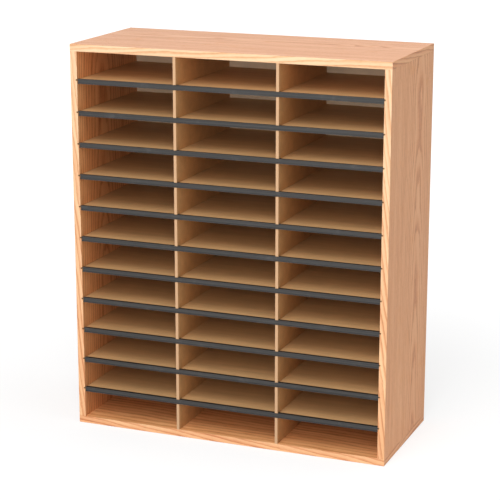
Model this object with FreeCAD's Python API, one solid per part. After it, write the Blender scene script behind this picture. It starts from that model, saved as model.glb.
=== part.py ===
import FreeCAD, Part
import os

# Literature organizer for letter paper: a laminated case with two thin dividers, and eleven long
# shelf boards that slide in from the front and cross the dividers as in an egg crate.
# Millimetres. The origin is on the floor, at the centre of the footprint.
# +X is right, +Y is the back and +Z is up. The compartments open towards -Y.

# Overall size and layout
WIDTH = 736.6
DEPTH = 304.8
HEIGHT = 876.3
COLUMNS = 3
ROWS = 12

# Case panels, laminated particleboard with a thin band on every edge that shows
PANEL = 15.9
BAND = 0.6
BAND_ARRIS = 0.3              # bevel trimmed along a band's outer edges
REBATE = 8.0                  # width of the step that the back board is let into

# Thin boards
BACK = 3.2
BACK_GAP = 0.5                # left round the back board in its step
DIVIDER = 6.35
SHELF = 3.2

# Shelf grooves in the side panels, open to the front
GROOVE_DEPTH = 3.2
SHELF_END_IN_GROOVE = 2.7
SHELF_TOP_CLEARANCE = 0.4
SHELF_REAR_GAP = 0.4          # from a seated shelf to the back board
SHELF_LEAD = 2.0              # corner cut off each front corner of a shelf

# Crossed slots of the dividers and the shelves
CROSSING_OVERLAP = 2.0        # how far the two slots of a crossing run past each other
SHELF_SLOT_WIDTH = 7.0
NOTCH_CLEARANCE = 0.3         # above and below a moulding where it passes a divider
NOTCH_REAR_CLEARANCE = 1.5

# Divider tongues, let into stopped grooves in the top and bottom panels
TONGUE = 4.0
TONGUE_SETBACK = 12.0
TONGUE_SIDE_CLEARANCE = 0.15
TONGUE_END_CLEARANCE = 0.5
DIVIDER_REAR_GAP = 0.3

# Label moulding, one extrusion along each shelf's front edge
MOULDING_HEIGHT = 11.0
MOULDING_SETBACK = 1.0        # from the case's front plane
MOULDING_END_GAP = 0.8        # from each end to the side panel
BOARD_OVER_MOULDING_FOOT = 6.4
WALL = 1.1                    # web between the label channel and the board
RAIL = 1.0                    # floor and roof of the label channel
LIP = 0.9                     # thickness of the two lips that hold a label
LIP_REACH = 1.7               # how much of the face each lip covers
LABEL_GAP = 0.9
CLIP_REACH = 8.0              # length of the two legs that grip the board
CLIP_LEG = 0.9
CLIP_TIP = 0.4
FRONT_RADIUS = 0.7
REAR_BEVEL = 0.4
LIP_BEVEL = 0.3

# Dowels between the sides and the top and bottom panels
DOWEL_RADIUS = 4.0
DOWEL_LENGTH = 30.0
DOWEL_CHAMFER = 0.8
DOWEL_IN_COVER = 11.0
DOWEL_INSET = 60.0            # from the front and the rear edge to a dowel's axis
HOLE_CLEARANCE = 0.05
HOLE_END_CLEARANCE = 1.0

# Staples that hold the back board
STAPLE_CROWN = 10.0
STAPLE_LEG = 16.0
STAPLE_WIRE = 1.0             # wire thickness in the staple's own plane
STAPLE_WIDTH = 1.2            # wire width across that plane
STAPLE_BEVEL = 0.8            # slant at the points of the legs
STAPLE_INSET = 4.0            # from the case's inner face to the middle of a staple
STAPLED_ROWS = (1, 3, 5, 8, 10, 12)

# Planes and pitches that follow from the sizes above
OUTER_X = WIDTH / 2
INNER_X = OUTER_X - PANEL
FRONT_Y = -DEPTH / 2
REAR_Y = DEPTH / 2
BACK_BOARD_Y = REAR_Y - BACK
FLOOR_Z = PANEL
CEILING_Z = HEIGHT - PANEL
COLUMN_WIDTH = (2 * INNER_X - (COLUMNS - 1) * DIVIDER) / COLUMNS
OPENING_HEIGHT = (CEILING_Z - FLOOR_Z - (ROWS - 1) * MOULDING_HEIGHT) / ROWS
ROW_PITCH = OPENING_HEIGHT + MOULDING_HEIGHT
CROSSING_Y = (FRONT_Y + MOULDING_SETBACK + BACK_BOARD_Y) / 2
DIVIDER_SLOT_END_Y = CROSSING_Y + CROSSING_OVERLAP / 2
SHELF_SLOT_END_Y = CROSSING_Y - CROSSING_OVERLAP / 2
SLOT_HEIGHT = SHELF + SHELF_TOP_CLEARANCE
MOULDING_DEPTH = LIP + LABEL_GAP + WALL + CLIP_REACH
SHELF_FRONT_Y = FRONT_Y + MOULDING_SETBACK + LIP + LABEL_GAP + WALL

X_AXIS = FreeCAD.Vector(1, 0, 0)
Y_AXIS = FreeCAD.Vector(0, 1, 0)
Z_AXIS = FreeCAD.Vector(0, 0, 1)
ORIGIN = FreeCAD.Vector(0, 0, 0)
MID_HEIGHT = FreeCAD.Vector(0, 0, HEIGHT / 2)


def moulding_foot_z(shelf):
    """Lowest edge of the moulding on a shelf, counted from 1 at the bottom."""
    return FLOOR_Z + shelf * OPENING_HEIGHT + (shelf - 1) * MOULDING_HEIGHT


def board_z(shelf):
    """Underside of a shelf board."""
    return moulding_foot_z(shelf) + BOARD_OVER_MOULDING_FOOT


def shelf_numbers():
    return range(1, ROWS)


def divider_centres():
    pitch = COLUMN_WIDTH + DIVIDER
    return [(column - COLUMNS / 2) * pitch for column in range(1, COLUMNS)]


def block(x_range, y_range, z_range):
    """A straight block between two planes on each axis."""
    size = [high - low for low, high in (x_range, y_range, z_range)]
    corner = FreeCAD.Vector(x_range[0], y_range[0], z_range[0])
    return Part.makeBox(*size, corner)


def cut(shape, tools):
    """What is left of a solid after all the tools, as one solid."""
    return shape.cut(tools).Solids[0]


def polygon_face(points):
    return Part.Face(Part.makePolygon(points + points[:1]))


def mirrored_left(shape):
    return shape.mirror(ORIGIN, X_AXIS)


def mirrored_down(shape):
    return shape.mirror(MID_HEIGHT, Z_AXIS)


# Case panels

def shelf_grooves():
    """The right side panel's grooves, which run from its front edge to the back board."""
    grooves = []
    for shelf in shelf_numbers():
        z = board_z(shelf)
        x_range = (INNER_X, INNER_X + GROOVE_DEPTH)
        grooves.append(block(x_range, (FRONT_Y, BACK_BOARD_Y), (z, z + SLOT_HEIGHT)))
    return grooves


def dowel_places():
    """Centres of the dowels of the right-hand top corner."""
    x = OUTER_X - PANEL / 2
    return [(x, FRONT_Y + DOWEL_INSET), (x, REAR_Y - DOWEL_INSET)]


def dowel_holes(length_below, length_above):
    """Holes about the joint between the right side and the top panel."""
    radius = DOWEL_RADIUS + HOLE_CLEARANCE
    holes = []
    for x, y in dowel_places():
        foot = FreeCAD.Vector(x, y, CEILING_Z - length_below)
        holes.append(Part.makeCylinder(radius, length_below + length_above, foot, Z_AXIS))
    return holes


def right_side_panel():
    panel = block((INNER_X, OUTER_X), (FRONT_Y + BAND, REAR_Y), (FLOOR_Z, CEILING_Z))
    rebate = block((INNER_X, INNER_X + REBATE), (BACK_BOARD_Y, REAR_Y), (FLOOR_Z, CEILING_Z))
    depth = DOWEL_LENGTH - DOWEL_IN_COVER + HOLE_END_CLEARANCE
    top_holes = dowel_holes(depth, 0)
    bottom_holes = [mirrored_down(hole) for hole in top_holes]
    return cut(panel, shelf_grooves() + [rebate] + top_holes + bottom_holes + right_staples(HOLE_CLEARANCE))


def top_panel():
    end = OUTER_X - BAND
    panel = block((-end, end), (FRONT_Y + BAND, REAR_Y), (CEILING_Z, HEIGHT))
    reach = INNER_X + REBATE
    rebate = block((-reach, reach), (BACK_BOARD_Y, REAR_Y), (CEILING_Z, CEILING_Z + REBATE))
    tools = [rebate]
    half_groove = DIVIDER / 2 + TONGUE_SIDE_CLEARANCE
    for x in divider_centres():
        x_range = (x - half_groove, x + half_groove)
        y_range = (FRONT_Y + TONGUE_SETBACK, BACK_BOARD_Y)
        tools.append(block(x_range, y_range, (CEILING_Z, CEILING_Z + TONGUE + TONGUE_END_CLEARANCE)))
    right_holes = dowel_holes(0, DOWEL_IN_COVER + HOLE_END_CLEARANCE)
    tools += right_holes + [mirrored_left(hole) for hole in right_holes]
    return cut(panel, tools + top_staples(HOLE_CLEARANCE))


def back_panel():
    """Hardboard let into the rebate all round."""
    reach = REBATE - BACK_GAP
    x = INNER_X + reach
    panel = block((-x, x), (BACK_BOARD_Y, REAR_Y), (FLOOR_Z - reach, CEILING_Z + reach))
    return cut(panel, all_staples(HOLE_CLEARANCE))


# Edge bands

def band_section(width, across, out):
    """Section of a band of the given width, with both outer edges bevelled.

    across and out are unit vectors: along the band's width, and away from the panel.
    """
    corners = [(0, 0), (0, BAND - BAND_ARRIS), (BAND_ARRIS, BAND), (width - BAND_ARRIS, BAND),
               (width, BAND - BAND_ARRIS), (width, 0)]
    return [across * along + out * thickness for along, thickness in corners]


def band(start, across, out, run):
    """A band that starts at a point of the panel's bare edge and runs along a vector."""
    section = [start + point for point in band_section(PANEL, across, out)]
    return polygon_face(section).extrude(run)


def top_front_band():
    start = FreeCAD.Vector(-OUTER_X, FRONT_Y + BAND, CEILING_Z)
    return band(start, Z_AXIS, -Y_AXIS, X_AXIS * WIDTH)


def right_front_band():
    start = FreeCAD.Vector(INNER_X, FRONT_Y + BAND, FLOOR_Z)
    strip = band(start, X_AXIS, -Y_AXIS, Z_AXIS * (CEILING_Z - FLOOR_Z))
    return cut(strip, shelf_grooves())


def top_end_bands():
    start = FreeCAD.Vector(OUTER_X - BAND, FRONT_Y + BAND, CEILING_Z)
    right = band(start, Z_AXIS, X_AXIS, Y_AXIS * (DEPTH - BAND))
    return Part.makeCompound([right, mirrored_left(right)])


# Dividers

def divider_outline():
    """Corners of the divider's side view, from the bottom front corner, up the front and round.

    Each shelf has a notch that its moulding passes through, and behind it a slot for the board.
    """
    rear = BACK_BOARD_Y - DIVIDER_REAR_GAP
    tongue_front = FRONT_Y + TONGUE_SETBACK + TONGUE_END_CLEARANCE
    notch_end = FRONT_Y + MOULDING_SETBACK + MOULDING_DEPTH + NOTCH_REAR_CLEARANCE

    def point(y, z):
        return FreeCAD.Vector(0, y, z)

    points = [point(FRONT_Y, FLOOR_Z)]
    for shelf in shelf_numbers():
        foot = moulding_foot_z(shelf) - NOTCH_CLEARANCE
        head = moulding_foot_z(shelf) + MOULDING_HEIGHT + NOTCH_CLEARANCE
        low = board_z(shelf)
        high = low + SLOT_HEIGHT
        points += [point(FRONT_Y, foot), point(notch_end, foot)]
        points += [point(notch_end, low), point(DIVIDER_SLOT_END_Y, low)]
        points += [point(DIVIDER_SLOT_END_Y, high), point(notch_end, high)]
        points += [point(notch_end, head), point(FRONT_Y, head)]
    points += [point(FRONT_Y, CEILING_Z), point(tongue_front, CEILING_Z)]
    points += [point(tongue_front, CEILING_Z + TONGUE), point(rear, CEILING_Z + TONGUE)]
    points += [point(rear, FLOOR_Z - TONGUE), point(tongue_front, FLOOR_Z - TONGUE)]
    points += [point(tongue_front, FLOOR_Z)]
    return points


def divider(centre_x):
    board = polygon_face(divider_outline()).extrude(X_AXIS * DIVIDER)
    return board.translated(X_AXIS * (centre_x - DIVIDER / 2))


# Shelves

def shelf_board(shelf):
    """A board with one slot from its rear edge for each divider."""
    end = INNER_X + SHELF_END_IN_GROOVE
    rear = BACK_BOARD_Y - SHELF_REAR_GAP
    half_slot = SHELF_SLOT_WIDTH / 2

    def point(x, y):
        return FreeCAD.Vector(x, y, board_z(shelf))

    points = [point(-end, rear), point(-end, SHELF_FRONT_Y + SHELF_LEAD)]
    points += [point(-end + SHELF_LEAD, SHELF_FRONT_Y), point(end - SHELF_LEAD, SHELF_FRONT_Y)]
    points += [point(end, SHELF_FRONT_Y + SHELF_LEAD), point(end, rear)]
    for x in reversed(divider_centres()):
        points += [point(x + half_slot, rear), point(x + half_slot, SHELF_SLOT_END_Y)]
        points += [point(x - half_slot, SHELF_SLOT_END_Y), point(x - half_slot, rear)]
    return polygon_face(points).extrude(Z_AXIS * SHELF)


def moulding_section():
    """Corners of the label moulding's section as (y, z), y from its front face and z from its foot.

    In front is a shallow channel for label cards, between two lips.
    Behind the web are two tapered legs that grip the board.
    """
    web_front = LIP + LABEL_GAP
    web_rear = web_front + WALL
    clip_end = web_rear + CLIP_REACH
    head = MOULDING_HEIGHT
    board_foot = BOARD_OVER_MOULDING_FOOT
    board_head = board_foot + SHELF
    lower_lip = [(0, 0), (0, LIP_REACH), (LIP - LIP_BEVEL, LIP_REACH), (LIP, LIP_REACH - LIP_BEVEL)]
    channel = [(LIP, RAIL), (web_front, RAIL), (web_front, head - RAIL), (LIP, head - RAIL)]
    upper_lip = [(y, head - z) for y, z in reversed(lower_lip)]
    rear_top = [(web_rear - REAR_BEVEL, head), (web_rear, head - REAR_BEVEL)]
    upper_leg = [(web_rear, board_head + CLIP_LEG), (clip_end, board_head + CLIP_TIP),
                 (clip_end, board_head), (web_rear, board_head)]
    lower_leg = [(web_rear, board_foot), (clip_end, board_foot),
                 (clip_end, board_foot - CLIP_TIP), (web_rear, board_foot - CLIP_LEG)]
    rear_foot = [(y, head - z) for y, z in reversed(rear_top)]
    return lower_lip + channel + upper_lip + rear_top + upper_leg + lower_leg + rear_foot


def label_moulding(shelf):
    """The moulding of one shelf, with its two long front edges rounded."""
    half_length = INNER_X - MOULDING_END_GAP
    section = polygon_face([FreeCAD.Vector(0, y, z) for y, z in moulding_section()])
    strip = section.extrude(X_AXIS * (2 * half_length))
    midpoints = [FreeCAD.Vector(half_length, 0, z) for z in (0, MOULDING_HEIGHT)]

    def is_front_edge(edge):
        return min(edge.CenterOfMass.distanceToPoint(midpoint) for midpoint in midpoints) < LIP_BEVEL

    rounded = strip.makeFillet(FRONT_RADIUS, [edge for edge in strip.Edges if is_front_edge(edge)])
    place = FreeCAD.Vector(-half_length, FRONT_Y + MOULDING_SETBACK, moulding_foot_z(shelf))
    return rounded.translated(place)


# Dowels and staples

def dowel(x, y):
    """One dowel of the joint between the right side and the top panel."""
    foot = CEILING_Z + DOWEL_IN_COVER - DOWEL_LENGTH
    head = CEILING_Z + DOWEL_IN_COVER
    neck = DOWEL_RADIUS - DOWEL_CHAMFER
    profile = [(0, foot), (neck, foot), (DOWEL_RADIUS, foot + DOWEL_CHAMFER),
               (DOWEL_RADIUS, head - DOWEL_CHAMFER), (neck, head), (0, head)]
    centre = FreeCAD.Vector(x, y, 0)
    half_section = polygon_face([centre + FreeCAD.Vector(r, 0, z) for r, z in profile])
    return half_section.revolve(centre, Z_AXIS, 360)


def case_dowels():
    top_right = [dowel(x, y) for x, y in dowel_places()]
    top = top_right + [mirrored_left(one) for one in top_right]
    return Part.makeCompound(top + [mirrored_down(one) for one in top])


def staple(place, along, grow):
    """A staple driven forward until its crown is flush with the back board.

    place is its middle in the rear plane and along is the unit vector that its crown follows.
    grow widens it all round, for the hole that it sits in.
    """
    outer = STAPLE_CROWN / 2 + grow
    inner = STAPLE_CROWN / 2 - STAPLE_WIRE - grow
    crown = STAPLE_WIRE + grow
    leg = STAPLE_LEG + grow
    outline = [(-outer, 0), (outer, 0), (outer, leg - STAPLE_BEVEL), (inner, leg), (inner, crown),
               (-inner, crown), (-inner, leg), (-outer, leg - STAPLE_BEVEL)]
    width = STAPLE_WIDTH + 2 * grow
    across = along.cross(Y_AXIS)
    start = place - across * (width / 2)
    points = [start + along * reach - Y_AXIS * depth for reach, depth in outline]
    return polygon_face(points).extrude(across * width)


def right_staples(grow):
    """Upright staples at half the height of some openings, clear of the shelf grooves."""
    staples = []
    for row in STAPLED_ROWS:
        z = FLOOR_Z + (row - 1) * ROW_PITCH + OPENING_HEIGHT / 2
        staples.append(staple(FreeCAD.Vector(INNER_X + STAPLE_INSET, REAR_Y, z), Z_AXIS, grow))
    return staples


def top_staples(grow):
    """Level staples, one over the middle of each column."""
    staples = []
    for column in range(COLUMNS):
        x = (column - (COLUMNS - 1) / 2) * (COLUMN_WIDTH + DIVIDER)
        staples.append(staple(FreeCAD.Vector(x, REAR_Y, CEILING_Z + STAPLE_INSET), X_AXIS, grow))
    return staples


def all_staples(grow):
    right = right_staples(grow)
    top = top_staples(grow)
    return right + top + [mirrored_left(one) for one in right] + [mirrored_down(one) for one in top]


def build():
    """Every node of the organizer by name."""
    nodes = {
        "top_panel": top_panel(),
        "right_side_panel": right_side_panel(),
        "back_panel": back_panel(),
        "top_front_band": top_front_band(),
        "right_front_band": right_front_band(),
        "top_end_bands": top_end_bands(),
        "case_dowels": case_dowels(),
        "back_staples": Part.makeCompound(all_staples(0)),
    }
    for name in ("side_panel", "front_band"):
        nodes["left_" + name] = mirrored_left(nodes["right_" + name])
    for name in ("panel", "front_band", "end_bands"):
        nodes["bottom_" + name] = mirrored_down(nodes["top_" + name])
    for side, centre_x in zip(("left", "right"), divider_centres()):
        nodes[side + "_divider"] = divider(centre_x)
    for shelf in shelf_numbers():
        nodes["shelf_%02d" % shelf] = shelf_board(shelf)
        nodes["label_moulding_%02d" % shelf] = label_moulding(shelf)
    return nodes


os.makedirs("parts", exist_ok=True)
for node, shape in build().items():
    shape.exportStep("parts/" + node + ".step")
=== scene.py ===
import math

import bpy
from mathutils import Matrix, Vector


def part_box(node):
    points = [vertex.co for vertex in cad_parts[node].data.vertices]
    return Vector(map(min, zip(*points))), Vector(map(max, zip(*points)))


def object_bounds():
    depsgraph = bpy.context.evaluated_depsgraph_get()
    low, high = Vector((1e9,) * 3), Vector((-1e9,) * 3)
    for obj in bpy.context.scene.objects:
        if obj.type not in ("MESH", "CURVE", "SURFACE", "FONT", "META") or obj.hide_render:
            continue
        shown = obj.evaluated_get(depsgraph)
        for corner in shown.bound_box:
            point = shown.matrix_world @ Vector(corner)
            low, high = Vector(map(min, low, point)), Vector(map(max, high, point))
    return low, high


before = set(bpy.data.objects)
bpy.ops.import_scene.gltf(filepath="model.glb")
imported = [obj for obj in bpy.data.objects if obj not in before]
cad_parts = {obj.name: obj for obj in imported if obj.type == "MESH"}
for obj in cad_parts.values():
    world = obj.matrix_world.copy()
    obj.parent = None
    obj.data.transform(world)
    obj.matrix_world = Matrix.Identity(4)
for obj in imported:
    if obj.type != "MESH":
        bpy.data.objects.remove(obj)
cad_low, cad_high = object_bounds()

X, Y, Z = range(3)

# Planes of the case, in metres
HAIR = 0.0002
OUTER_X = cad_high.x
INNER_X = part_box("right_front_band")[0].x
FLOOR_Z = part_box("bottom_panel")[1].z
CEILING_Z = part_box("top_panel")[0].z
TOP_Z = cad_high.z
# A moulding's face and lips lie in front of this plane, and the legs that grip the board behind it
MOULDING_FACE_DEPTH = 0.0026
MOULDING_WEB_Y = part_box("label_moulding_01")[0].y + MOULDING_FACE_DEPTH


class Shader:
    """The node tree of a new material or world, with short calls for the nodes that they use."""

    def __init__(self, name, kind="Material"):
        blocks = bpy.data.materials if kind == "Material" else bpy.data.worlds
        self.block = blocks.new(name)
        self.block.use_nodes = True
        self.nodes = self.block.node_tree.nodes
        self.links = self.block.node_tree.links
        self.nodes.clear()
        self.output = self.nodes.new("ShaderNodeOutput" + kind)
        self.place = None

    def add(self, kind, inputs, **settings):
        """A new node. Each input is a socket to link to, a value, or None to leave it alone."""
        node = self.nodes.new(kind)
        for key, value in settings.items():
            setattr(node, key, value)
        for key, value in inputs.items():
            if isinstance(value, bpy.types.NodeSocket):
                self.links.new(value, node.inputs[key])
            elif value is not None:
                node.inputs[key].default_value = value
        return node

    def position(self):
        """The point on the surface as x, y and z sockets, in metres of the shared frame with all at rest."""
        if self.place is None:
            coordinate = self.add("ShaderNodeTexCoord", {})
            split = self.add("ShaderNodeSeparateXYZ", {0: coordinate.outputs["Object"]})
            self.place = [split.outputs[axis] for axis in (X, Y, Z)]
        return self.place

    def facing(self):
        """The surface's true normal as x, y and z sockets."""
        geometry = self.add("ShaderNodeNewGeometry", {})
        split = self.add("ShaderNodeSeparateXYZ", {0: geometry.outputs["True Normal"]})
        return [split.outputs[axis] for axis in (X, Y, Z)]

    def seen(self):
        """1 for a ray from the camera, straight or by a mirror or glass, and 0 for one that carries light."""
        path = self.add("ShaderNodeLightPath", {})
        mirrored = self.math("MAXIMUM", path.outputs["Is Glossy Ray"], path.outputs["Is Transmission Ray"])
        return self.math("MAXIMUM", path.outputs["Is Camera Ray"], mirrored)

    def math(self, operation, first, second=None, third=None, clamp=False):
        inputs = {0: first, 1: second, 2: third}
        return self.add("ShaderNodeMath", inputs, operation=operation, use_clamp=clamp).outputs[0]

    def scaled(self, value, factor, offset=0.0):
        return self.math("MULTIPLY_ADD", value, factor, offset)

    def centred(self, value, factor):
        """A value from 0 to 1, scaled and moved so that its middle comes to 0."""
        return self.scaled(value, factor, -0.5 * factor)

    def vector(self, x, y, z):
        return self.add("ShaderNodeCombineXYZ", {0: x, 1: y, 2: z}).outputs[0]

    def stretched(self, x_scale, y_scale, z_scale):
        """The place on the surface with each axis on a scale of its own."""
        scales = (x_scale, y_scale, z_scale)
        return self.vector(*[self.scaled(value, scale) for value, scale in zip(self.position(), scales)])

    def noise(self, vector, scale=1.0, detail=2.0, roughness=0.5):
        inputs = {"Vector": vector, "Scale": scale, "Detail": detail, "Roughness": roughness}
        return self.add("ShaderNodeTexNoise", inputs).outputs[0]

    def streaks(self, along, across, seed, along_scale, across_scale, detail, roughness):
        """Noise that is drawn out along the grain."""
        place = self.vector(self.scaled(along, along_scale), self.scaled(across, across_scale), seed)
        return self.noise(place, detail=detail, roughness=roughness)

    def cells(self, vector, scale):
        """Random grey value of each Voronoi cell."""
        node = self.add("ShaderNodeTexVoronoi", {"Vector": vector, "Scale": scale})
        return self.add("ShaderNodeSeparateColor", {0: node.outputs["Color"]}).outputs[0]

    def step(self, value, low, high, bottom=0.0, top=1.0):
        """A smooth step of a value, from bottom at low to top at high."""
        inputs = {"Value": value, "From Min": low, "From Max": high, "To Min": bottom, "To Max": top}
        return self.add("ShaderNodeMapRange", inputs, interpolation_type="SMOOTHSTEP").outputs[0]

    def mix(self, factor, first, second):
        """A colour between two colours."""
        return self.add("ShaderNodeMix", {0: factor, 6: first, 7: second}, data_type="RGBA").outputs[2]

    def choose(self, factor, first, second):
        """A number between two numbers."""
        return self.add("ShaderNodeMix", {0: factor, 2: first, 3: second}).outputs[0]

    def ramp(self, value, stops):
        """The colour for a value, where stops are pairs of a position from 0 to 1 and a colour."""
        node = self.add("ShaderNodeValToRGB", {0: value})
        elements = node.color_ramp.elements
        while len(elements) < len(stops):
            elements.new(0.5)
        for element, (position, color) in zip(elements, stops):
            element.position = position
            element.color = color
        return node.outputs[0]

    def surface(self, node):
        """Link the last node to the output, and return the material or world."""
        self.links.new(node.outputs[0], self.output.inputs["Surface"])
        return self.block

    def finish(self, color, roughness, height, relief, gloss=0.5, metallic=0.0):
        """A principled surface. relief is the height's full range in metres, and gloss the specular level."""
        bump = self.add("ShaderNodeBump", {"Height": height, "Distance": relief, "Strength": 1.0})
        inputs = {"Base Color": color, "Roughness": roughness, "Normal": bump.outputs[0],
                  "Specular IOR Level": gloss, "Metallic": metallic}
        return self.surface(self.add("ShaderNodeBsdfPrincipled", inputs))


def rgb(red, green, blue):
    """A colour given as screen values from 0 to 255, as the linear colour that Blender works in."""
    linear = [((value / 255 + 0.055) / 1.055) ** 2.4 for value in (red, green, blue)]
    return (*linear, 1.0)


# Wood-grain laminate on particleboard

# ring is the spacing of the growth rings and slope how steeply the cut leaves them, so that ring / slope is
# the height of an arch, and start how deep the pith lies below the cut at the frame's origin. wander is how
# far the grain strays, drift how much it leans and fine how many fine streaks there are to a metre. The last
# three weigh the rings, the fine streaks and the broad bands of shade.
PANEL_FIGURE = {"ring": 0.008, "slope": 0.055, "start": 0.02, "wander": 0.007, "drift": 0.0, "fine": 230.0,
                "arch": 0.46, "streak": 0.95, "broad": 0.60}
WIDE_FIGURE = {"ring": 0.007, "slope": 0.03, "start": 0.04, "wander": 0.010, "drift": 0.0, "fine": 230.0,
               "arch": 0.40, "streak": 1.00, "broad": 0.70}
FLOOR_FIGURE = {"ring": 0.016, "slope": 0.0, "start": 0.02, "wander": 0.016, "drift": 0.03, "fine": 75.0,
                "arch": 0.42, "streak": 1.10, "broad": 0.80}
BAND_FIGURE = {"ring": 0.0095, "slope": 0.0, "start": 0.004, "wander": 0.010, "drift": 0.0, "fine": 110.0,
               "arch": 0.55, "streak": 0.90, "broad": 0.90}

# The light, middle, dark and pore colours of each face
# Partly painted light: the pinker tint of TOP_OUT is painted sheen, and the deeper orange of SIDE_IN is
# painted shade
TOP_OUT = (rgb(232, 182, 144), rgb(218, 156, 115), rgb(177, 112, 74), rgb(132, 76, 45))
CEILING_IN = (rgb(252, 214, 176), rgb(241, 192, 150), rgb(200, 140, 98), rgb(150, 94, 60))
SIDE_OUT = (rgb(245, 188, 136), rgb(231, 160, 107), rgb(188, 115, 69), rgb(140, 80, 43))
SIDE_IN = (rgb(243, 181, 125), rgb(222, 152, 98), rgb(180, 109, 62), rgb(134, 74, 38))
FLOOR_IN = (rgb(250, 191, 133), rgb(230, 162, 105), rgb(190, 121, 71), rgb(142, 82, 44))
# The bands' tones at the top and at the foot of the case; the lighter, paler PALE_BAND at the top is painted
# light
PALE_BAND = (rgb(243, 210, 170), rgb(234, 186, 143), rgb(212, 152, 108), rgb(165, 108, 68))
WARM_BAND = (rgb(251, 200, 150), rgb(235, 168, 120), rgb(196, 118, 74), rgb(150, 84, 48))
CHIPS = ((0.0, rgb(120, 88, 56)), (0.45, rgb(176, 140, 98)), (1.0, rgb(214, 184, 140)))

LAMINATE_GLOSS = 0.15
LAMINATE_RELIEF = 0.00008
BAND_RELIEF = 0.00006
# Early wood takes up EARLY_SHARE of a ring, and MIDDLE_TONE is about the tone of the whole
MIDDLE_TONE = 0.42
EARLY_SHARE = 0.4
FACE_SEED_STEP = 5.0


def oak(shader, along, across, seed, centre, figure):
    """Flat-sawn oak figure. Returns its tone, 0 for light to 1 for dark, and its pores, 0 to 1.

    along and across are sockets in metres, seed a number or socket that tells one sheet from another, and
    centre is where the arches of the figure stand.
    """
    ring, wander, arch = figure["ring"], figure["wander"], figure["arch"]

    # Distance from the pith, which is the middle of the growth rings
    stray = shader.noise(shader.vector(shader.scaled(along, 3.0), shader.scaled(across, 9.0), seed))
    strayed = shader.math("ADD", across, shader.scaled(stray, 2 * wander, -wander - centre))
    side = shader.math("MULTIPLY_ADD", along, figure["drift"], strayed)
    rise = shader.noise(shader.vector(shader.scaled(along, 4.0), seed, 0.0), detail=1.0)
    depth = shader.math("MULTIPLY_ADD", along, figure["slope"], shader.scaled(rise, 0.03, figure["start"]))
    square = shader.math("MULTIPLY_ADD", side, side, shader.math("MULTIPLY", depth, depth))
    radius = shader.math("SQRT", square)

    def grain(offset, along_scale, across_scale, detail, roughness):
        return shader.streaks(along, side, shader.scaled(seed, 1.0, offset), along_scale, across_scale,
                              detail, roughness)

    # Each ring is early wood, which is dark with pores, and fades into late wood
    ragged = grain(0.0, 14.0, 70.0, detail=3.0, roughness=0.6)
    turns = shader.math("ADD", shader.scaled(radius, 1 / ring), shader.scaled(ragged, 0.9))
    phase = shader.math("FRACT", turns)
    early = shader.math("MAXIMUM", shader.step(phase, 0.0, 0.55, 1.0, 0.0), shader.step(phase, 0.88, 1.0))
    rings = shader.scaled(early, arch, MIDDLE_TONE - EARLY_SHARE * arch)

    streak = grain(7.0, 5.0, figure["fine"], detail=4.0, roughness=0.7)
    broad = grain(11.0, 2.5, 45.0, detail=2.0, roughness=0.5)
    dashes = grain(17.0, 95.0, 2600.0, detail=1.0, roughness=0.5)
    pores = shader.math("MULTIPLY", shader.step(dashes, 0.56, 0.68), shader.scaled(early, 0.75, 0.25))
    shade = shader.math("ADD", rings, shader.centred(streak, figure["streak"]))
    tone = shader.math("ADD", shade, shader.centred(broad, figure["broad"]), clamp=True)
    return tone, pores


def wood(shader, tone, pores, tones):
    """The colour of an oak tone with its pores, where tones are the light, middle, dark and pore colours."""
    light, middle, dark, pore = tones
    color = shader.ramp(tone, [(0.0, light), (0.5, middle), (1.0, dark)])
    return shader.mix(shader.scaled(pores, 0.5), color, pore)


def scuffed(shader):
    """Faint rubbed patches, 0 to 1."""
    patches = shader.noise(shader.vector(*shader.position()), 22.0, 4.0, 0.7)
    return shader.step(patches, 0.55, 0.75)


def embossed(shader, tone, pores):
    """The roughness and the height of laminate, which is pressed in where its pores are printed."""
    satin = shader.math("ADD", shader.scaled(pores, 0.2, 0.42), shader.scaled(scuffed(shader), 0.12))
    height = shader.math("SUBTRACT", shader.scaled(tone, -0.2, 0.8), shader.scaled(pores, 0.5))
    return satin, height


def particleboard(shader):
    """Pressed wood chips. Returns the colour, the roughness and the height."""
    place = shader.vector(*shader.position())
    chips = shader.cells(place, 520.0)
    dust = shader.cells(place, 1900.0)
    fibre = shader.noise(place, 900.0, 3.0, 0.7)
    mixed = shader.math("ADD", shader.scaled(chips, 0.55), shader.scaled(dust, 0.30))
    tone = shader.math("ADD", mixed, shader.scaled(fibre, 0.3, -0.1), clamp=True)
    return shader.ramp(tone, CHIPS), shader.scaled(dust, 0.1, 0.85), shader.scaled(chips, 0.7)


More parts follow.
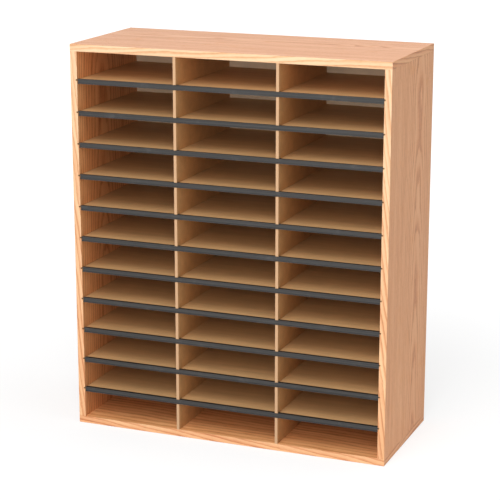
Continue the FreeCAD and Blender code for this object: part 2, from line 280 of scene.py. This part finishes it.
def panel_material(name, thickness_axis, planes, tones, along_axis, across_axis, centre, seed, figure):
    """Laminate on the two faces of a panel, and bare particleboard on its cut edges, grooves and holes.

    planes are the coordinates of the two laminated faces along the thickness axis, and tones the wood tones
    of the one and the other. Along x they are distances from the middle, which both side panels share.
    """
    shader = Shader(name)
    position = shader.position()
    normal = shader.facing()
    depth = position[thickness_axis]
    if thickness_axis == X:
        depth = shader.math("ABSOLUTE", depth)
    low, high = planes
    turned = shader.math("GREATER_THAN", shader.math("ABSOLUTE", normal[thickness_axis]), 0.5)
    at_face = shader.math("MAXIMUM", shader.math("LESS_THAN", depth, low + HAIR),
                          shader.math("GREATER_THAN", depth, high - HAIR))
    laminated = shader.math("MULTIPLY", turned, at_face)

    # The two faces of a panel come from different sheets, and their tones partly carry painted sheen and
    # shade
    upper = shader.math("GREATER_THAN", depth, (low + high) / 2)
    sheet = shader.scaled(upper, FACE_SEED_STEP, seed)
    tone, pores = oak(shader, position[along_axis], position[across_axis], sheet, centre, figure)
    low_color, high_color = [wood(shader, tone, pores, face_tones) for face_tones in tones]
    satin, emboss = embossed(shader, tone, pores)

    chip_color, chip_roughness, chip_height = particleboard(shader)
    color = shader.mix(laminated, chip_color, shader.mix(upper, low_color, high_color))
    roughness = shader.choose(laminated, chip_roughness, satin)
    height = shader.choose(laminated, chip_height, emboss)
    return shader.finish(color, roughness, height, LAMINATE_RELIEF, LAMINATE_GLOSS)


def band_material(name, along_axis, across_axis, centre, drift, seed, tones=(WARM_BAND, PALE_BAND)):
    """Oak band whose grain leans by drift. tones are its tones at the foot of the case and at its top, where
    light is painted.
    """
    shader = Shader(name)
    position = shader.position()
    figure = dict(BAND_FIGURE, drift=drift)
    tone, pores = oak(shader, position[along_axis], position[across_axis], seed, centre, figure)
    low_color, high_color = [wood(shader, tone, pores, level_tones) for level_tones in tones]
    # Painted light: the colour grows lighter and paler towards the top of the case
    color = shader.mix(shader.scaled(position[Z], 1 / TOP_Z), low_color, high_color)
    satin, emboss = embossed(shader, tone, pores)
    return shader.finish(color, satin, emboss, BAND_RELIEF, LAMINATE_GLOSS)


# Pressed fibreboard

SCREEN_PITCH = 0.0016
BOARD_RELIEF = 0.00004
BOARD_GLOSS = 0.2
LIGHTER, DARKER = 1.12, 0.84
MOTTLING = 0.60


def board_material(name, face, edge, thickness_axis, seed, streaking=0.35, screen_side=0):
    """Smooth pressed fibreboard: mottled faces and rougher cut edges of another shade.

    streaking is how much of the mottling is streaks along x, from 0 to MOTTLING, and the rest is clouds.
    screen_side is 1 or -1 for a face that carries the print of the press's wire screen, or 0 for none.
    """
    shader = Shader(name)
    x, y, z = shader.position()
    place = shader.vector(x, y, z)
    normal = shader.facing()[thickness_axis]
    clouds = shader.noise(shader.vector(x, y, shader.math("ADD", z, seed)), 14.0, 3.0, 0.6)
    streaky = shader.noise(shader.stretched(5.0, 55.0, 55.0), detail=3.0, roughness=0.6)
    combed = shader.noise(shader.stretched(12.0, 160.0, 160.0), detail=4.0, roughness=0.7)
    fibre = shader.noise(place, 520.0, 4.0, 0.7)
    specks = shader.step(shader.noise(place, 1400.0), 0.66, 0.74)
    clouded = shader.scaled(clouds, MOTTLING - streaking)
    mottle = shader.math("ADD", clouded, shader.scaled(streaky, streaking))
    fine = shader.math("ADD", shader.scaled(combed, 0.2), shader.scaled(fibre, 0.2))
    tone = shader.math("ADD", mottle, fine, clamp=True)
    dark, light = [[channel * factor for channel in face[:3]] + [1.0] for factor in (DARKER, LIGHTER)]
    mottled = shader.ramp(tone, [(0.35, dark), (0.65, light)])
    face_color = shader.mix(shader.scaled(specks, 0.35), mottled, edge)
    edge_color = shader.mix(shader.scaled(fibre, 0.5), edge, face)
    on_face = shader.math("GREATER_THAN", shader.math("ABSOLUTE", normal), 0.5)
    color = shader.mix(on_face, edge_color, face_color)
    roughness = shader.scaled(fibre, 0.2, 0.45)
    height = fibre
    if screen_side:
        screened = shader.math("GREATER_THAN", shader.math("MULTIPLY", normal, screen_side), 0.5)
        in_plane = [value for axis, value in enumerate((x, y, z)) if axis != thickness_axis]
        waves = [shader.math("SINE", shader.scaled(value, 2 * math.pi / SCREEN_PITCH)) for value in in_plane]
        weave = shader.scaled(shader.math("MULTIPLY", *waves), 0.5, 0.5)
        printed_color = shader.mix(shader.scaled(weave, 0.30, 0.10), color, edge)
        color = shader.mix(screened, color, printed_color)
        height = shader.choose(screened, fibre, shader.math("MULTIPLY_ADD", weave, 2.5, fibre))
        roughness = shader.math("MULTIPLY_ADD", screened, 0.25, roughness)
    return shader.finish(color, roughness, height, BOARD_RELIEF, BOARD_GLOSS)


# Mouldings, staples and dowels

MOULDING_FACE = ((0.3, rgb(56, 55, 54)), (0.9, rgb(82, 80, 79)))
# Painted shade: darker greys for the legs behind the web and for the faces that look up
MOULDING_PAINTED_SHADE = ((0.3, rgb(26, 25, 24)), (0.9, rgb(40, 38, 37)))
MOULDING_GLOSS = 0.3
MOULDING_RELIEF = 0.00003
WIRE = ((0.3, rgb(150, 150, 148)), (0.7, rgb(200, 200, 198)))
WIRE_RELIEF = 0.00003
BEECH = ((0.3, rgb(196, 158, 112)), (0.7, rgb(228, 196, 150)))
BEECH_RELIEF = 0.00005


def moulding_material():
    """Grey plastic with the fine lines of the extrusion along x, and painted shade on its legs and its upper
    sides.
    """
    shader = Shader("grey_extrusion")
    x, y, z = shader.position()
    draw = shader.noise(shader.stretched(3.0, 900.0, 900.0), detail=3.0, roughness=0.6)
    grain = shader.noise(shader.vector(x, y, z), 1500.0)
    rubbed = shader.math("MULTIPLY_ADD", scuffed(shader), 0.35, draw, clamp=True)
    # Painted shade: the legs behind the web and the upward faces take the darker greys
    painted_shade_behind_web = shader.step(y, MOULDING_WEB_Y - HAIR, MOULDING_WEB_Y + HAIR)
    painted_shade_on_top = shader.step(shader.facing()[Z], 0.6, 0.9)
    painted_shade = shader.math("MAXIMUM", painted_shade_behind_web, painted_shade_on_top)
    color = shader.mix(painted_shade, shader.ramp(rubbed, MOULDING_FACE), shader.ramp(rubbed, MOULDING_PAINTED_SHADE))
    roughness = shader.scaled(grain, 0.16, 0.38)
    height = shader.math("ADD", shader.scaled(draw, 0.7), shader.scaled(grain, 0.3))
    return shader.finish(color, roughness, height, MOULDING_RELIEF, MOULDING_GLOSS)


def wire_material():
    """Drawn steel wire with fine scratches."""
    shader = Shader("bright_wire")
    scratch = shader.noise(shader.stretched(800.0, 60.0, 800.0), detail=3.0)
    roughness = shader.scaled(scratch, 0.25, 0.25)
    return shader.finish(shader.ramp(scratch, WIRE), roughness, scratch, WIRE_RELIEF, metallic=1.0)


def dowel_material():
    """Turned beech, with its grain upright."""
    shader = Shader("beech_dowel")
    grain = shader.noise(shader.stretched(900.0, 900.0, 40.0), detail=3.0)
    return shader.finish(shader.ramp(grain, BEECH), shader.scaled(grain, 0.2, 0.6), grain, BEECH_RELIEF)


# Materials of the nodes

SHELF_FACE = rgb(211, 169, 119)
SHELF_EDGE = rgb(156, 118, 78)
DIVIDER_FACE = rgb(209, 159, 106)
DIVIDER_EDGE = rgb(205, 169, 135)
BACK_FACE = rgb(240, 218, 188)
BACK_EDGE = rgb(140, 110, 80)

SIDE_PLANES = (INNER_X, OUTER_X)
TOP_PLANES = (CEILING_Z, TOP_Z)
BOTTOM_PLANES = (0.0, FLOOR_Z)
SIDE_TONES = (SIDE_IN, SIDE_OUT)
TOP_TONES = (CEILING_IN, TOP_OUT)
BOTTOM_TONES = (TOP_OUT, FLOOR_IN)
END_TONES = (SIDE_OUT, SIDE_OUT)

# Node, then what panel_material takes
PANELS = (
    ("right_side_panel", "right_laminate", X, SIDE_PLANES, SIDE_TONES, Z, Y, 0.057, 2.0, PANEL_FIGURE),
    ("left_side_panel", "left_laminate", X, SIDE_PLANES, SIDE_TONES, Z, Y, -0.03, 31.0, PANEL_FIGURE),
    ("top_panel", "top_laminate", Z, TOP_PLANES, TOP_TONES, X, Y, 0.05, 53.0, WIDE_FIGURE),
    ("bottom_panel", "bottom_laminate", Z, BOTTOM_PLANES, BOTTOM_TONES, X, Y, 0.35, 71.0, FLOOR_FIGURE),
)

# Node, then what band_material takes
BANDS = (
    ("top_front_band", "top_band", X, Z, TOP_Z + 0.08, -0.055, 5.0),
    ("bottom_front_band", "bottom_band", X, Z, -0.12, 0.10, 16.3),
    ("left_front_band", "left_band", Z, X, -OUTER_X - 0.05, 0.11, 25.0),
    ("right_front_band", "right_band", Z, X, OUTER_X + 0.25, 0.15, 35.0),
    ("top_end_bands", "top_ends", Y, Z, TOP_Z + 0.08, 0.10, 45.0, END_TONES),
    ("bottom_end_bands", "bottom_ends", Y, Z, -0.08, -0.05, 55.0, END_TONES),
)


def paint(node, material):
    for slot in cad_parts[node].material_slots:
        slot.material = material


for node, *settings in PANELS:
    paint(node, panel_material(*settings))
for node, *settings in BANDS:
    paint(node, band_material(*settings))
shelf_board = board_material("shelf_board", SHELF_FACE, SHELF_EDGE, Z, 0.0, screen_side=-1)
divider_board = board_material("divider_board", DIVIDER_FACE, DIVIDER_EDGE, X, 4.0)
paint("left_divider", divider_board)
paint("right_divider", divider_board)
back_board = board_material("back_board", BACK_FACE, BACK_EDGE, Y, 8.0, streaking=0.10, screen_side=1)
paint("back_panel", back_board)
paint("case_dowels", dowel_material())
paint("back_staples", wire_material())
grey_extrusion = moulding_material()
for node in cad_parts:
    if node.startswith("shelf_"):
        paint(node, shelf_board)
    elif node.startswith("label_moulding_"):
        paint(node, grey_extrusion)


# Camera, light and floor

CAMERA_PLACE = (1.3740, -3.4225, 1.3769)
CAMERA_TILT = 75.305
CAMERA_TURN = 21.943
LENS = 121.67
SENSOR_WIDTH = 36.0

WHITE = (1.0, 1.0, 1.0, 1.0)
WORLD_STRENGTH = 0.36
CENTRE = (0.0, 0.0, 0.45)
# Name, place, target, size and power in watts
LAMPS = (
    ("front", (0.6, -3.0, 2.0), CENTRE, 2.2, 30.5),
    ("high", (0.0, -2.2, 3.2), CENTRE, 2.2, 49.5),
    ("level", (0.3, -2.4, 0.95), (0.0, 0.0, 0.75), 0.8, 8.0),
    ("overhead", (0.8, 0.1, 3.1), CENTRE, 2.0, 22.0),
)

FLOOR_GREY = (0.9, 0.9, 0.9, 1.0)
FLOOR_REACH = 30.0
FLOOR_DROP = 0.0005
FLOOR_GLOW = 1.15
# The glow takes NEAR_SHARE of what the camera sees as far as NEAR, and all of it from FAR on
NEAR, FAR = 0.4, 2.0
NEAR_SHARE = 0.6


def make_camera():
    data = bpy.data.cameras.new("camera")
    data.sensor_width = SENSOR_WIDTH
    data.lens = LENS
    camera = bpy.data.objects.new("camera", data)
    camera.location = CAMERA_PLACE
    camera.rotation_euler = (math.radians(CAMERA_TILT), 0.0, math.radians(CAMERA_TURN))
    bpy.context.scene.collection.objects.link(camera)
    bpy.context.scene.camera = camera


def soft_light(name, place, target, size, power):
    data = bpy.data.lights.new(name, "AREA")
    data.shape = "DISK"
    data.size = size
    data.energy = power
    lamp = bpy.data.objects.new(name, data)
    lamp.location = place
    lamp.rotation_euler = (Vector(target) - Vector(place)).to_track_quat("-Z", "Y").to_euler()
    bpy.context.scene.collection.objects.link(lamp)


def make_world():
    """Even white light from all round, and plain white where the camera looks past the floor."""
    shader = Shader("studio", "World")
    level = shader.scaled(shader.seen(), 1.0 - WORLD_STRENGTH, WORLD_STRENGTH)
    background = shader.add("ShaderNodeBackground", {"Color": WHITE, "Strength": level})
    bpy.context.scene.world = shader.surface(background)


def make_floor():
    """A pale floor that looks white, with the object's shadow left on it round about the object."""
    shader = Shader("pale_floor")
    diffuse = shader.add("ShaderNodeBsdfDiffuse", {"Color": FLOOR_GREY})
    glow = shader.add("ShaderNodeEmission", {"Color": WHITE, "Strength": FLOOR_GLOW})
    x, y, _ = shader.position()
    distance = shader.math("SQRT", shader.math("MULTIPLY_ADD", x, x, shader.math("MULTIPLY", y, y)))
    share = shader.math("MULTIPLY", shader.seen(), shader.step(distance, NEAR, FAR, NEAR_SHARE, 1.0))
    mixed = shader.add("ShaderNodeMixShader", {0: share, 1: diffuse.outputs[0], 2: glow.outputs[0]})
    mesh = bpy.data.meshes.new("floor")
    signs = ((-1, -1), (1, -1), (1, 1), (-1, 1))
    corners = [(FLOOR_REACH * x_sign, FLOOR_REACH * y_sign, 0.0) for x_sign, y_sign in signs]
    mesh.from_pydata(corners, [], [(0, 1, 2, 3)])
    mesh.materials.append(shader.surface(mixed))
    floor = bpy.data.objects.new("floor", mesh)
    floor.location.z = cad_low.z - FLOOR_DROP
    bpy.context.scene.collection.objects.link(floor)


make_camera()
make_world()
for lamp_settings in LAMPS:
    soft_light(*lamp_settings)
make_floor()
bpy.context.scene.view_settings.view_transform = "Standard"
